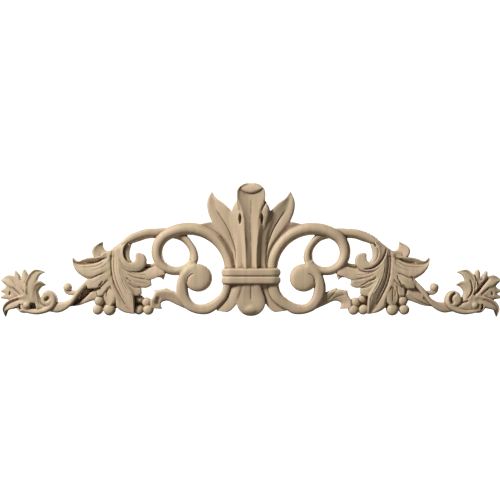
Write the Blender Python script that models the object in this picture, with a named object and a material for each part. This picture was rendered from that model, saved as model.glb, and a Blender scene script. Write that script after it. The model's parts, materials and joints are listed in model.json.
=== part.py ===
"""Carved wood applique: a pierced, mirrored scrollwork crest with a banded sheaf of leaves in the
middle, an acanthus leaf and berries on each arm, and a leaf spray at each end.

It is carved from one board, flat behind, and stands upright against the face it is fixed to:
X runs along it, Z is up, the carving faces -Y, and Y = 0 is its back. The origin lies in the
back face, behind the middle of the collar.
"""

import math

import bmesh
import bpy
from mathutils import Matrix, Vector

# Driving sizes, in metres
WIDTH = 0.600  # from end tip to end tip
BOARD = 0.024  # thickness of the board, at its highest carving
EYE_FLOOR = 0.004  # wood left behind the drilled eyes
SAW_ALLOWANCE = BOARD / 12  # how far the rough forms pass behind the back face before it is cut flat

# The carving is set out on a drawing grid of 500 modules over its width, and its heights are
# shares of the board's thickness, as a carver scales a drawing. Points are (x, z) in modules
# from the origin, on the left half, and each form off the middle line is mirrored.
MODULE = WIDTH / 500
MERGE = 0.04 * MODULE  # points of one form closer than this are the same point
UNDERSIDES = 17  # how many depths the rough forms' undersides share out between them
SLIVER = 0.00002  # corners of the finished body closer than this are the same corner

WOOD_COLOUR = (0.60, 0.46, 0.31, 1.0)
WOOD_ROUGHNESS = 0.62

# Gouge sections: (place across the form, share of its height), from its left edge to its right
ROUND = ((0.0, 0.50), (0.16, 0.86), (0.50, 1.00), (0.84, 0.86), (1.0, 0.50))
CORD = ((0.0, 0.90), (0.50, 1.00), (1.0, 0.90))
CROWNED = ((0.0, 0.66), (0.50, 1.00), (1.0, 0.66))
DISHED = ((0.0, 1.00), (0.50, 0.74), (1.0, 1.00))
FOLDED = ((0.0, 0.78), (0.22, 1.00), (0.50, 0.80), (0.78, 1.00), (1.0, 0.78))
FLUTED = ((0.0, 0.66), (0.20, 1.00), (0.55, 0.84), (0.85, 0.96), (1.0, 0.66))
CUPPED = ((0.0, 0.84), (0.10, 1.00), (0.50, 0.66), (0.90, 1.00), (1.0, 0.84))
LIPPED = ((0.0, 0.66), (0.25, 1.00), (0.48, 0.98), (0.68, 0.64), (1.0, 0.92))
ROLLED = ((0.0, 0.80), (0.30, 1.00), (0.70, 0.98), (1.0, 0.72))

BAND_HALF = 29.8  # half the collar's length, in modules
BAND_ENDS = ((0, 0.45), (0.8, 0.80), (2.4, 1.0))  # (distance from an end, share of full height)
BANDS = (("band_top", 4.8, 3.7), ("band_bottom", -2.9, 3.7))  # (name, middle, half height)

# Berries: (middle, radius, height of the front)
BERRIES = (
    ((-151.2, -24), 5.0, 0.46),
    ((-152.8, -32.2), 5.0, 0.44),
    ((-141.4, -32.4), 6.0, 0.50),
    ((-110.6, -21.8), 4.2, 0.36),
    ((-103.8, -25.2), 4.8, 0.44),
    ((-111, -32), 5.2, 0.48),
    ((-102.2, -32.4), 5.2, 0.48),
)

# Drilled eyes: (name, left edge, right edge), each edge from top to bottom
EYES = (
    ("sheaf_eye", [(-11.4, 64), (-12.8, 58), (-11.4, 52)],
     [(-10.6, 64), (-9.4, 58), (-10.6, 52)]),
    ("hook_eye", [(-123, 33.6), (-126.8, 27), (-126.2, 21), (-122.4, 15.8)],
     [(-122, 33), (-124.2, 27), (-124, 21), (-122, 16.4)]),
    ("spray_eye", [(-219.4, -26), (-219.8, -28.5), (-218.8, -31)],
     [(-215.6, -26), (-215.2, -28.5), (-216.2, -31)]),
)


def clear_scene():
    for obj in list(bpy.data.objects):
        bpy.data.objects.remove(obj)


def spline(points, t):
    """The point at t, from 0 to 1, on a smooth curve through points."""
    spans = len(points) - 1
    place = min(max(t, 0.0), 1.0) * spans
    k = min(int(place), spans - 1)
    f = place - k
    p1, p2 = Vector(points[k]), Vector(points[k + 1])
    p0 = Vector(points[k - 1]) if k > 0 else 2 * p1 - p2
    p3 = Vector(points[k + 2]) if k + 2 <= spans else 2 * p2 - p1
    slope = (p2 - p0) * f
    bend = (2 * p0 - 5 * p1 + 4 * p2 - p3) * f * f
    twist = (3 * p1 - p0 - 3 * p2 + p3) * f * f * f
    return 0.5 * (2 * p1 + slope + bend + twist)


def blend(values, t):
    """The value at t on a smooth curve through evenly spaced values."""
    return spline([(value, 0.0) for value in values], t)[0]


def even_curve(points, count):
    """count + 1 points at even distances along the smooth curve through points."""
    fine = 24 * (len(points) - 1)
    walk = [spline(points, k / fine) for k in range(fine + 1)]
    reach = [0.0]
    for here, there in zip(walk, walk[1:]):
        reach.append(reach[-1] + (there - here).length)
    found = []
    k = 0
    for step in range(count + 1):
        goal = reach[-1] * step / count
        while k < fine - 1 and reach[k + 1] < goal:
            k += 1
        share = (goal - reach[k]) / max(reach[k + 1] - reach[k], 1e-9)
        found.append(walk[k].lerp(walk[k + 1], min(max(share, 0.0), 1.0)))
    return found


def arc_line(start, heading, legs, count):
    """(point, heading) at even distances along tangent arcs. A leg is (radius, turn in degrees);
    a positive turn is to the left."""
    length = sum(radius * math.radians(abs(turn)) for radius, turn in legs)
    found = []
    for step in range(count + 1):
        left = length * step / count
        x, z = start
        angle = math.radians(heading)
        for radius, turn in legs:
            side = 1 if turn > 0 else -1
            swept = min(left / radius, math.radians(abs(turn)))
            x += side * radius * (math.sin(angle + side * swept) - math.sin(angle))
            z += side * radius * (math.cos(angle) - math.cos(angle + side * swept))
            angle += side * swept
            left = max(0.0, left - radius * math.radians(abs(turn)))
        found.append((Vector((x, z)), angle))
    return found


def mirrored(points):
    return [(-x, z) for x, z in points]


def close_below(bm, depth):
    """Draws a copy of the carved face back to depth, with walls between the two."""
    bmesh.ops.remove_doubles(bm, verts=bm.verts, dist=MERGE)
    back = bmesh.ops.extrude_face_region(bm, geom=bm.faces, use_keep_orig=True)
    for vert in back["geom"]:
        if isinstance(vert, bmesh.types.BMVert):
            vert.co.y = depth


class Carver:
    """Cuts the rough forms, and mirrors each one that isn't on the middle line."""

    def __init__(self):
        self.forms = bpy.data.collections.new("forms")
        self.cuts = bpy.data.collections.new("cuts")
        for collection in (self.forms, self.cuts):
            bpy.context.scene.collection.children.link(collection)

    def keep(self, bm, name, sides, collection):
        for side in sides:
            copy = bm.copy()
            if side < 0:
                bmesh.ops.scale(copy, vec=(-1, 1, 1), verts=copy.verts)
            bmesh.ops.recalc_face_normals(copy, faces=copy.faces)
            mesh = bpy.data.meshes.new(name)
            copy.to_mesh(mesh)
            copy.free()
            obj = bpy.data.objects.new(f"{name}_{'right' if side < 0 else 'left'}", mesh)
            obj.hide_render = True
            obj.display_type = "WIRE"
            collection.objects.link(obj)
        bm.free()

    def sheet(self, name, left, right, section, rise, sides=(1, -1)):
        """A form between two edges, each a list of points, with a gouge section across it.
        rise is its height at even places along it, as shares of the board."""
        rows, columns = len(left) - 1, len(section) - 1
        bm = bmesh.new()
        bmesh.ops.create_grid(bm, x_segments=columns, y_segments=rows, size=0.5)
        for vert in bm.verts:
            row = round((vert.co.y + 0.5) * rows)
            across, share = section[round((vert.co.x + 0.5) * columns)]
            place = left[row].lerp(right[row], across)
            height = BOARD * blend(rise, row / rows) * share
            vert.co = (place.x * MODULE, -height, place.y * MODULE)
        self.grow(bm, name, sides)

    def grow(self, bm, name, sides):
        """Draws a carved face back past the back face. No two undersides lie in one plane."""
        order = len(self.forms.objects) % UNDERSIDES / UNDERSIDES
        close_below(bm, SAW_ALLOWANCE * (1 + order))
        self.keep(bm, name, sides, self.forms)

    def leaf(self, name, left, right, rise, section=FOLDED, rows=5, sides=(1, -1)):
        """A leaf or lobe between two edges, each given by a few points from its root to its tip."""
        self.sheet(name, even_curve(left, rows), even_curve(right, rows), section, rise, sides)

    def bar(self, name, line, widths, rise):
        """A scroll bar along a line of (point, heading), with its width at even places along it."""
        left, right = [], []
        for step, (place, angle) in enumerate(line):
            half = blend(widths, step / (len(line) - 1)) / 2
            across = Vector((-math.sin(angle), math.cos(angle)))
            left.append(place + across * half)
            right.append(place - across * half)
        self.sheet(name, left, right, ROUND, rise)

    def ball(self, name, middle, radius, height, segments=8, rings=6, depth=1.0):
        """A berry or boss: the front half of a ball, on a straight wall. Its front is at height,
        a share of the board, and depth flattens it from front to back."""
        bm = bmesh.new()
        bmesh.ops.create_uvsphere(bm, u_segments=segments, v_segments=rings, radius=radius * MODULE)
        bmesh.ops.rotate(bm, matrix=Matrix.Rotation(math.radians(90), 3, "X"), verts=bm.verts)
        bmesh.ops.delete(bm, geom=[vert for vert in bm.verts if vert.co.y > MERGE], context="VERTS")
        bmesh.ops.scale(bm, vec=(1, depth, 1), verts=bm.verts)
        place = (middle[0] * MODULE, radius * depth * MODULE - height * BOARD, middle[1] * MODULE)
        bmesh.ops.translate(bm, vec=place, verts=bm.verts)
        self.grow(bm, name, (1, -1))


def carve_scrolls(carver):
    """The big scroll from the collar's top, which closes into a ring, the arch from the acanthus
    that passes under it, and the low scroll that ends in the boss."""
    big = arc_line((-22, 8), 90, [(40, 90), (44, 30), (20, 60), (19, 90), (19, 60)], 17)
    carver.bar("big_scroll", big, (8.0, 11.0, 12.4, 12.0, 11.0, 9.0, 7.5), (0.62, 0.62, 0.52))
    arch = arc_line((-134.5, 27.4), 42, [(64, -42), (48.5, -32), (17, -54), (24, -40), (12, -40)], 13)
    carver.bar("arch", arch, (6.4, 8.4, 9.2, 8.6, 8.2, 8.0), (0.46, 0.44, 0.46))
    low = arc_line((-23.5, -7), -94, [(27.3, -86), (18.2, -90), (20, -84), (12, -24)], 15)
    carver.bar("low_scroll", low, (9.4, 10.0, 10.0, 11.2, 12.0, 8.0), (0.58, 0.54, 0.60))
    carver.ball("boss", (-52.6, -1), 13.6, 0.70, segments=14, rings=8, depth=0.70)


def carve_sheaf(carver):
    """The sheaf above the collar: a cupped middle leaf with its tip rolled forward, a shoulder
    leaf behind it on each side, and an outer leaf that stands away from it."""
    edge = [(-5.2, 6), (-5.4, 27), (-5.8, 41), (-7, 55), (-9.4, 65), (-13.4, 74),
            (-14.4, 81.5), (-13.4, 87), (-10, 91), (-5, 93.1), (-0.4, 93.4)]
    carver.leaf("middle_leaf", edge, mirrored(edge), (0.66, 0.80, 0.88), CUPPED, 9, sides=(1,))
    carver.leaf(
        "shoulder", [(-12, 6), (-14, 37), (-20, 63), (-14.2, 76)],
        [(-2, 6), (-3, 37), (-4, 63), (-11, 79)],
        (0.54, 0.52, 0.46), CROWNED, 4,
    )
    carver.leaf(
        "outer_leaf", [(-19, 6), (-23, 27), (-37, 54), (-43, 67), (-43.6, 75), (-42.4, 80), (-39.4, 85)],
        [(-11, 6), (-10.4, 37), (-16, 61), (-25.5, 72.5), (-34, 78), (-37.4, 81), (-39, 85.1)],
        (0.50, 0.56, 0.42), FOLDED, 7,
    )
    carver.leaf(
        "web", [(-19, 11), (-31, 34), (-44, 43), (-56, 51)],
        [(-13, 15), (-19, 37), (-29, 55), (-47, 53.4)],
        (0.36, 0.40, 0.40), CROWNED, 4,
    )


def carve_rolled_tips(carver):
    """The middle leaf's tip rolled forward over its cup, and the drop leaf's tip curled up."""
    carver.leaf(
        "rolled_tip", [(-12, 87.4), (-5, 84.2), (5, 84.2), (12, 87.4)],
        [(-11, 89.2), (-5.4, 92.1), (5.4, 92.1), (11, 89.2)],
        (0.86, 1.0, 0.86), ROLLED, 4, sides=(1,),
    )
    carver.leaf(
        "curled_tip", [(-11.4, -31.6), (-6, -37.6), (5.6, -37.6), (11.2, -31.6)],
        [(-10, -30.8), (-4.6, -30.4), (4.4, -30.4), (9.8, -30.8)],
        (0.58, 0.72, 0.58), ROLLED, 4, sides=(1,),
    )


def carve_drop(carver):
    """Below the collar: a cupped drop leaf, with a small leaf on each side of it."""
    edge = [(-10.6, -4), (-11, -13), (-12, -21), (-13.6, -28), (-12.4, -33), (-8, -36.6), (-4, -38.3),
            (-0.2, -38.8)]
    carver.leaf("drop_leaf", mirrored(edge), edge, (0.62, 0.58, 0.58), CUPPED, 7, sides=(1,))
    carver.leaf(
        "side_drop", [(-5, -4), (-9, -22), (-17, -32), (-24, -35)],
        [(-23, -4), (-27, -22), (-32, -29), (-34.4, -34)],
        (0.44, 0.42, 0.36), CROWNED, 5,
    )


def carve_collar(carver):
    """Two half-round mouldings round the sheaf, with a quirk between them."""
    ends = [(-BAND_HALF + inset, share) for inset, share in BAND_ENDS]
    places = ends + [(0.0, 1.0)] + [(-x, share) for x, share in reversed(ends)]
    for name, middle, half in BANDS:
        top = [Vector((x, middle + half * share)) for x, share in places]
        bottom = [Vector((x, middle - half * share)) for x, share in places]
        carver.sheet(name, top, bottom, ROUND, (0.62, 0.86, 0.62), sides=(1,))


def carve_acanthus(carver):
    """The acanthus on each arm: a body with a midrib, a long lobe that ends it, three lobes on
    the inner side and four on the outer side, and a hooked lobe at the top on each side."""
    carver.leaf(
        "acanthus_body", [(-139, 26), (-143, 15), (-147, 1), (-146, -13), (-137, -26)],
        [(-127, 33.4), (-125.4, 21), (-120, 10), (-115, -3), (-116.6, -20)],
        (0.44, 0.44, 0.36), CROWNED, 6,
    )
    carver.leaf(
        "long_lobe",
        [(-140, 26), (-139.6, 11), (-137.4, -4), (-135.4, -21), (-130, -32.6), (-117, -37.2)],
        [(-132, 30), (-130, 13), (-124, -5), (-116.8, -18), (-116.4, -29), (-116.1, -37)],
        (0.58, 0.56, 0.38), FLUTED, 6,
    )
    carver.leaf(
        "midrib", [(-139.6, 27), (-139.2, 11), (-137, -3), (-132, -15), (-123.6, -28)],
        [(-136.4, 28), (-136.2, 12), (-134, -2), (-129.6, -13), (-122.4, -27)],
        (0.66, 0.66, 0.46), CORD, 6,
    )
    carver.leaf(
        "inner_lobe_top", [(-134, 27), (-126, 15), (-114, 7.5), (-101, 11), (-88, 9)],
        [(-135, 15), (-125, 3), (-112, -2.4), (-99, -2.6), (-85.4, 1.7)],
        (0.54, 0.46, 0.36), FLUTED, 5,
    )
    carver.leaf(
        "inner_lobe_middle", [(-133, 13), (-121, 2), (-109, 0), (-100.6, -3)],
        [(-133, 3), (-122, -8.4), (-110, -12), (-100, -7)],
        (0.54, 0.46, 0.36), FLUTED, 4,
    )
    carver.leaf(
        "inner_lobe_low", [(-132, 2), (-122, -7), (-115, -9), (-109.4, -12.6)],
        [(-132, -5), (-124, -16), (-116, -18.6), (-109.2, -16.8)],
        (0.52, 0.42, 0.36), CROWNED, 4,
    )
    carver.leaf(
        "inner_hook",
        [(-128, 32), (-128, 24), (-125, 15), (-118, 8.6), (-111, 6.4), (-106, 11), (-104.8, 17),
         (-107, 22), (-112, 24.1)],
        [(-119.4, 31.6), (-121.8, 25), (-121.6, 19), (-119, 15.8), (-116.2, 15.8), (-115, 17.5),
         (-115, 19.5), (-115.1, 21.5), (-114.8, 23.7)],
        (0.48, 0.42, 0.46), DISHED, 8,
    )
    carver.leaf(
        "outer_lobe_top",
        [(-139, 6), (-151, 2), (-162.5, -1.6), (-171.5, 3.5), (-176.7, 11), (-177.8, 19.7)],
        [(-139, 26), (-148, 22.6), (-155.6, 19.4), (-163, 19.2), (-172, 16), (-177, 20)],
        (0.56, 0.46, 0.42), LIPPED, 5,
    )
    carver.leaf(
        "outer_hook",
        [(-138, 20), (-147, 17.5), (-155, 19), (-158.5, 24.5), (-157.6, 29), (-154, 32.4), (-148.2, 35.2)],
        [(-138, 27.2), (-142, 25.8), (-145.6, 26.6), (-147, 28.6), (-147.6, 30.6), (-147.9, 32.6),
         (-147.8, 35)],
        (0.46, 0.38, 0.40), DISHED, 6,
    )
    carver.leaf(
        "outer_lobe_second", [(-138, 1), (-147, -6), (-154.5, -10.4), (-162.8, -10)],
        [(-139, 13), (-151, 6), (-161, 0.4), (-163.8, -5)],
        (0.58, 0.52, 0.42), CROWNED, 4,
    )
    carver.leaf(
        "outer_lobe_third", [(-136, -7), (-142, -14), (-147, -18), (-152.7, -18.6)],
        [(-140, 4), (-148, -3), (-152.5, -9.5), (-154.4, -14)],
        (0.58, 0.52, 0.42), CROWNED, 4,
    )
    carver.leaf(
        "outer_lobe_low", [(-134, -7), (-134, -19), (-136.4, -26.5), (-141.5, -30.2)],
        [(-139, -2), (-144.6, -13), (-146.6, -23), (-142.6, -29.8)],
        (0.58, 0.54, 0.46), CROWNED, 4,
    )


def carve_berries(carver):
    """Berries under the acanthus, three outside and four inside, with the wood left between them."""
    for k, (place, radius, height) in enumerate(BERRIES):
        carver.ball(f"berry_{k + 1}", place, radius, height)
    carver.leaf(
        "outer_berry_bed", [(-154.4, -19), (-154.4, -31)],
        [(-133, -7), (-138, -32)],
        (0.24, 0.24), CROWNED, 1,
    )
    carver.leaf(
        "inner_berry_bed", [(-120, -15), (-119, -33)],
        [(-107.6, -19.6), (-101.4, -32)],
        (0.16, 0.16), CROWNED, 1,
    )


def carve_inner_tendril(carver):
    """The leaf that grows from the low scroll towards the inner berries and curls down."""
    carver.leaf(
        "inner_tendril",
        [(-63, -32.6), (-74, -26.8), (-82.5, -23.4), (-88, -24.4), (-89.8, -27.5), (-89.2, -31.4)],
        [(-67, -17), (-78, -12.4), (-84.6, -10.8), (-91, -12.8), (-97.5, -16), (-99.6, -23),
         (-98.4, -31.2)],
        (0.46, 0.44, 0.34), FLUTED, 5,
    )
    carver.leaf(
        "tendril_point", [(-89, -20), (-94, -18), (-96.7, -14)],
        [(-86, -12), (-92, -12.4), (-96.4, -13.6)],
        (0.40, 0.38, 0.30), CROWNED, 3,
    )


def carve_stem(carver):
    """The stem from the acanthus to the end spray, its bract, and its tendril with a bead."""
    carver.leaf(
        "stem",
        [(-157, -6), (-163.5, -10), (-168, -14.5), (-173.5, -21.5), (-179, -28.5), (-186, -33.6),
         (-193, -35.8), (-201, -34.5)],
        [(-159, 2), (-163.4, -2), (-169, -7.6), (-174.5, -13.6), (-179, -20.5), (-185, -24),
         (-192.6, -25.4), (-199, -26)],
        (0.46, 0.46, 0.34), ROUND, 6,
    )
    carver.leaf(
        "bract", [(-148, -22), (-157.4, -23.4), (-165, -26), (-172, -28.4), (-181, -29.4)],
        [(-147, -6), (-157, -8), (-165, -11.6), (-172, -18), (-181, -26)],
        (0.38, 0.30, 0.26), CROWNED, 5,
    )
    tendril = arc_line((-173.5, -15.8), 195, [(12, -40), (5.5, -110)], 7)
    carver.bar("tendril", tendril, (5.2, 3.8, 3.0), (0.34, 0.32, 0.34))
    carver.ball("bead", (-183, -10.4), 4.1, 0.44)


def carve_spray(carver):
    """The leaf spray at each end: a small volute that the stem runs into, a fan of teeth
    behind it, a tall leaf with a short hook, and a claw that turns down."""
    volute = arc_line((-226.5, -30.2), -40, [(18, 40), (20, 40), (10.5, 50), (4.6, 180), (3.2, 90)], 12)
    carver.bar("volute", volute, (5.0, 5.8, 6.6, 7.8, 8.4, 7.6, 5.0), (0.42, 0.44, 0.46))
    carver.leaf(
        "fan", [(-209, -32), (-227, -26), (-238, -22.4), (-245, -17.6), (-246, -11.4)],
        [(-215, -11), (-223, -5), (-229.4, -1.8), (-236.4, 0.2), (-244, 0.2)],
        (0.34, 0.30, 0.20), CROWNED, 5,
    )
    carver.leaf(
        "hub", [(-224, -19), (-223, -27), (-219, -34)],
        [(-210, -17), (-206, -24), (-207, -33)],
        (0.36, 0.34, 0.32), CROWNED, 2,
    )
    carver.leaf(
        "tall_leaf", [(-222, -29), (-226, -13), (-224.6, -3.4), (-220, 4.2), (-214, 7.6), (-206.2, 5.3)],
        [(-211, -29), (-216.2, -13), (-214.2, -6), (-211.6, -2), (-209.4, 2), (-206, 4.6)],
        (0.42, 0.46, 0.28), FLUTED, 6,
    )
    carver.leaf(
        "short_hook", [(-219, -29), (-218.2, -13), (-215, -5.6), (-210.6, -4), (-205.2, -7.6)],
        [(-207, -26), (-211.4, -18), (-211.4, -13.6), (-209.6, -10.6), (-205.3, -8.2)],
        (0.38, 0.32, 0.26), DISHED, 5,
    )
    carver.leaf(
        "outward_lobe", [(-224, -23), (-235, -15), (-244.4, -11.4), (-246.6, -6.6), (-249.8, -3.2)],
        [(-221, -15), (-228, -7), (-236.4, 0), (-243, 1.8), (-249.4, -2.4)],
        (0.42, 0.36, 0.26), DISHED, 4,
    )
    carver.leaf(
        "upper_tooth", [(-229, -19), (-234.6, -5), (-235.8, 5)],
        [(-222, -15), (-229, -3), (-232.4, 4.6)],
        (0.38, 0.34, 0.28), CROWNED, 4,
    )
    carver.leaf(
        "second_tooth", [(-226, -17), (-229.6, -2), (-227.6, 6.4)],
        [(-220, -15), (-222.6, -3), (-224, 5)],
        (0.38, 0.34, 0.28), CROWNED, 4,
    )
    carver.leaf(
        "side_tooth", [(-227, -24), (-241, -17.6), (-249.8, -14.4)],
        [(-226, -15), (-239, -10.6), (-249.8, -13.6)],
        (0.38, 0.30, 0.22), CROWNED, 4,
    )
    carver.leaf(
        "lower_tooth", [(-227, -26), (-239, -23.4), (-250, -20.9)],
        [(-227, -20), (-240, -15.6), (-250, -20.1)],
        (0.38, 0.30, 0.22), CROWNED, 4,
    )
    carver.leaf(
        "claw", [(-217, -29), (-231, -28.6), (-237.5, -32), (-242.6, -34), (-244.8, -39.8)],
        [(-221, -17), (-236, -20.4), (-244.7, -25), (-248.6, -31.5), (-245.4, -39.8)],
        (0.46, 0.42, 0.22), FOLDED, 5,
    )
    carver.ball("bud", (-224.4, -28.4), 4.6, 0.48)
    carver.leaf(
        "bud_leaf", [(-221, -32.6), (-225, -35.2), (-229, -35.4)],
        [(-225, -26), (-232, -27.5), (-230.8, -34)],
        (0.36, 0.32, 0.26), CROWNED, 3,
    )


def cut_slab(carver):
    """Everything behind the back face, to be sawn off."""
    thick = 4 * SAW_ALLOWANCE
    bm = bmesh.new()
    bmesh.ops.create_cube(bm, size=1)
    bmesh.ops.scale(bm, vec=(1.2 * WIDTH, thick, WIDTH), verts=bm.verts)
    bmesh.ops.translate(bm, vec=(0, thick / 2, 0), verts=bm.verts)
    carver.keep(bm, "slab_behind", (1,), carver.cuts)


def cut_eyes(carver):
    """The drilled slots beside the middle leaf, inside the acanthus hook and in the spray."""
    rows = 4
    for name, left, right in EYES:
        edges = (even_curve(left, rows), even_curve(right, rows))
        bm = bmesh.new()
        bmesh.ops.create_grid(bm, x_segments=1, y_segments=rows, size=0.5)
        for vert in bm.verts:
            place = edges[round(vert.co.x + 0.5)][round((vert.co.y + 0.5) * rows)]
            vert.co = (place.x * MODULE, -1.2 * BOARD, place.y * MODULE)
        close_below(bm, -EYE_FLOOR)
        carver.keep(bm, name, (1, -1), carver.cuts)


def collar_core(material):
    """The block that the sheaf and the scrolls grow from, behind the collar's mouldings."""
    half, top, bottom = BAND_HALF - 2.0, 8.0, -6.0
    depth = BOARD * 0.5
    bm = bmesh.new()
    bmesh.ops.create_cube(bm, size=1)
    size = (2 * half * MODULE, depth + SAW_ALLOWANCE, (top - bottom) * MODULE)
    bmesh.ops.scale(bm, vec=size, verts=bm.verts)
    middle = (0, (SAW_ALLOWANCE - depth) / 2, (top + bottom) / 2 * MODULE)
    bmesh.ops.translate(bm, vec=middle, verts=bm.verts)
    mesh = bpy.data.meshes.new("carved_applique")
    bm.to_mesh(mesh)
    bm.free()
    mesh.materials.append(material)
    applique = bpy.data.objects.new("carved_applique", mesh)
    bpy.context.scene.collection.objects.link(applique)
    return applique


def wood():
    material = bpy.data.materials.new("wood")
    material.use_nodes = True
    shader = material.node_tree.nodes["Principled BSDF"]
    shader.inputs["Base Color"].default_value = WOOD_COLOUR
    shader.inputs["Roughness"].default_value = WOOD_ROUGHNESS
    shader.inputs["Metallic"].default_value = 0.0
    material.diffuse_color = WOOD_COLOUR
    return material


def grow_together(applique, carver):
    """Joins the forms into one body, cuts its back flat and its eyes, and merges slivers."""
    for name, operation, collection in (("join forms", "UNION", carver.forms),
                                        ("cut back and eyes", "DIFFERENCE", carver.cuts)):
        boolean = applique.modifiers.new(name, "BOOLEAN")
        boolean.operation = operation
        boolean.operand_type = "COLLECTION"
        boolean.collection = collection
        boolean.solver = "EXACT"
        boolean.use_self = True
    weld = applique.modifiers.new("merge slivers", "WELD")
    weld.merge_threshold = SLIVER


def main():
    clear_scene()
    carver = Carver()
    for carve in (carve_scrolls, carve_sheaf, carve_rolled_tips, carve_drop, carve_collar, carve_acanthus,
                  carve_berries, carve_inner_tendril, carve_stem, carve_spray, cut_slab, cut_eyes):
        carve(carver)
    grow_together(collar_core(wood()), carver)


main()
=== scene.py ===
"""Dresses the carved wood applique: cuts its relief at full fineness, finishes it as bare pale wood,
and sets it on a plain pale stage.

The rough forms are laid out as in the CAD, but with smooth gouge sections. They are grown together,
filled as fine voxels and then worked over point by point: softened, cut with veins, and marked where
they fold, for the shade painted into the folds and the highlight painted on the edges. X runs along
the carving, Z is up, it faces -Y, and Y = 0 is its back.
"""

import json
import math

import bmesh
import bpy
import numpy as np
from bpy.props import FloatProperty, FloatVectorProperty, IntProperty, PointerProperty
from mathutils import Matrix, Vector

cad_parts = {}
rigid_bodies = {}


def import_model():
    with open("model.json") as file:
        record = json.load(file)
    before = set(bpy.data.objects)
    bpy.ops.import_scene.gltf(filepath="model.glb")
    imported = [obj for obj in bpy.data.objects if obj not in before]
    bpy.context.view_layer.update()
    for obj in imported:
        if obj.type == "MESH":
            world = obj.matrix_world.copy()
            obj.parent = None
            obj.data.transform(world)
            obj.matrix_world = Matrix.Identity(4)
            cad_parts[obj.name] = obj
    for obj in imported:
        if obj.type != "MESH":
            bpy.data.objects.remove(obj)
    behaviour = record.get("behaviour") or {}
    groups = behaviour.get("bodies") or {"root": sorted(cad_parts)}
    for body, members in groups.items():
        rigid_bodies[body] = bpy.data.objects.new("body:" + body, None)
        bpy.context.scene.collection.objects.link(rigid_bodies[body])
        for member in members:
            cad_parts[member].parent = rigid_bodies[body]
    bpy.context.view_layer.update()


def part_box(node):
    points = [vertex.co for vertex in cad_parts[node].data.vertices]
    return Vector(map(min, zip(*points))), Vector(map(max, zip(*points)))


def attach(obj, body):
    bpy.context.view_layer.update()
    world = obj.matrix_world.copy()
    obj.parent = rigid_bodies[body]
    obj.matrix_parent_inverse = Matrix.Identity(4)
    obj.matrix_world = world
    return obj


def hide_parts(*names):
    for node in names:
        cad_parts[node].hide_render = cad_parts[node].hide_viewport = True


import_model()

bl_info = {
    "name": "Carved Wood Applique",
    "version": (1, 0, 0),
    "blender": (4, 5, 0),
    "location": "3D View > Sidebar > Applique",
    "description": "Carves a pierced scrollwork crest and sets it on a plain stage",
    "category": "Object",
}

NODE = "carved_applique"
LOW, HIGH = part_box(NODE)
WIDTH = HIGH.x - LOW.x
BOARD = HIGH.y - LOW.y
MODULE = WIDTH / 500  # the drawing grid: 500 modules over the width
SAW_ALLOWANCE = BOARD / 12  # how far the rough forms pass behind the back face
UNDERSIDES = 17  # how many depths the rough forms' undersides share out between them
MERGE = 0.02 * MODULE  # points of one form closer than this are the same point
STROKE = 1.2  # modules between the rows of a rough form
LEAST_ROWS = 8  # of a leaf, however short
DRILL_START = 1.2 * BOARD  # how far in front of the back face a drilled slot starts
SLOT_STEPS = 12

BACK_ZONE = 0.0001  # points less than this in front of the back plane belong to the back face
FACING = -0.2  # the tools reach points whose normals have less than this along Y
BACK_FACING = 0.98  # faces whose normals have more than this along Y are the back
FINE_STEP = 0.4  # modules between the points of a stroke
LEAST_STEPS = 6  # along a stroke, however short
NEAR_AT_ONCE = 4000  # points of the mesh that are measured from a stroke at one time
RUB = 0.5  # share of the way to its neighbours' mean that a point goes in one pass
PUSH_BACK = -0.52  # the pass after it, which keeps the carving from shrinking
LEAD = 0.2  # share of a stroke over which it dies away at each end
LEAD_CURVE = 0.7  # under 1, it dies away late
FOLDS = ((4, 0.10, 0.4), (24, 0.50, 0.6))  # (passes, millimetres of a full fold, weight)
LEAST_FACES = 1000  # fewer than this, and the forms haven't grown together

# Which sides a form or stroke is on: both, the side it is drawn on, or only the other one
BOTH = (1, -1)
DRAWN = (1,)
OTHER = (-1,)

# Gouge sections, in hundredths: the share of a form's height at its left edge, then places across it
# with their shares, in pairs, and the share at its right edge
SOFT = (72, 14,94, 38,100, 62,100, 86,94, 72)
BLADE = (80, 14,96, 38,100, 62,100, 86,96, 80)
LEVEL = (92, 6,97, 20,100, 47,96, 53,96, 80,97, 95,94, 93)
VALLEY = (98, 4,100, 26,92, 47,85, 53,85, 74,92, 96,100, 98)
CUP = (98, 3,100, 10,93.5, 20,90, 32,88.5, 46,88.5, 70,94, 88,98, 97,100, 98)
ARCHED = (62, 12,92, 34,100, 62,95, 84,72, 40)
MOULDING = (80, 5,92, 13,98.5, 32,100, 68,100, 87,98.5, 95,92, 80)
LOBE = (90, 14,98, 50,100, 88,98, 88)
CORD = (90, 50,100, 90)
ROLLED = (95, 12,98.5, 30,100, 58,98.5, 80,95, 92,88, 74)
BAR_BASE = 0.37  # share of a bar's height that is its straight walls

# The collar's core, from which the sheaf and the scrolls grow, and its mouldings, in modules
BAND_HALF = 29.4  # half the collar's length
BAND_ROUNDING = 3.2  # how far the mouldings' rounded ends reach
BAND_END = 0.4  # share of their height that is left at their very ends
BAND_STEPS = 60
BAND_RISE = (70, 85, 87, 87, 87, 87, 87, 85, 70)
BANDS = (("band_top", 4.8, 4), ("band_bottom", -2.9, 4))  # (name, middle, half height)
CORE_HALF = BAND_HALF - 2
CORE_TOP = 8
CORE_BOTTOM = -6
CORE_DEPTH = 0.5 * BOARD

# The big scroll from the collar's top, which closes into a ring: it starts straight up
BIG_START = (20.8, 7)  # (left of the middle line, up)
BIG_ARCS = ((41.2, 90), (44, 30), (20, 60), (19, 90), (19, 60))  # (radius, turn in degrees)
BIG_WIDTHS = (11, 11.8, 12.4, 12, 11, 9, 7.5)  # at even places along it
BIG_RISE = (62, 62, 52)  # its heights, in hundredths of the board

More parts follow.
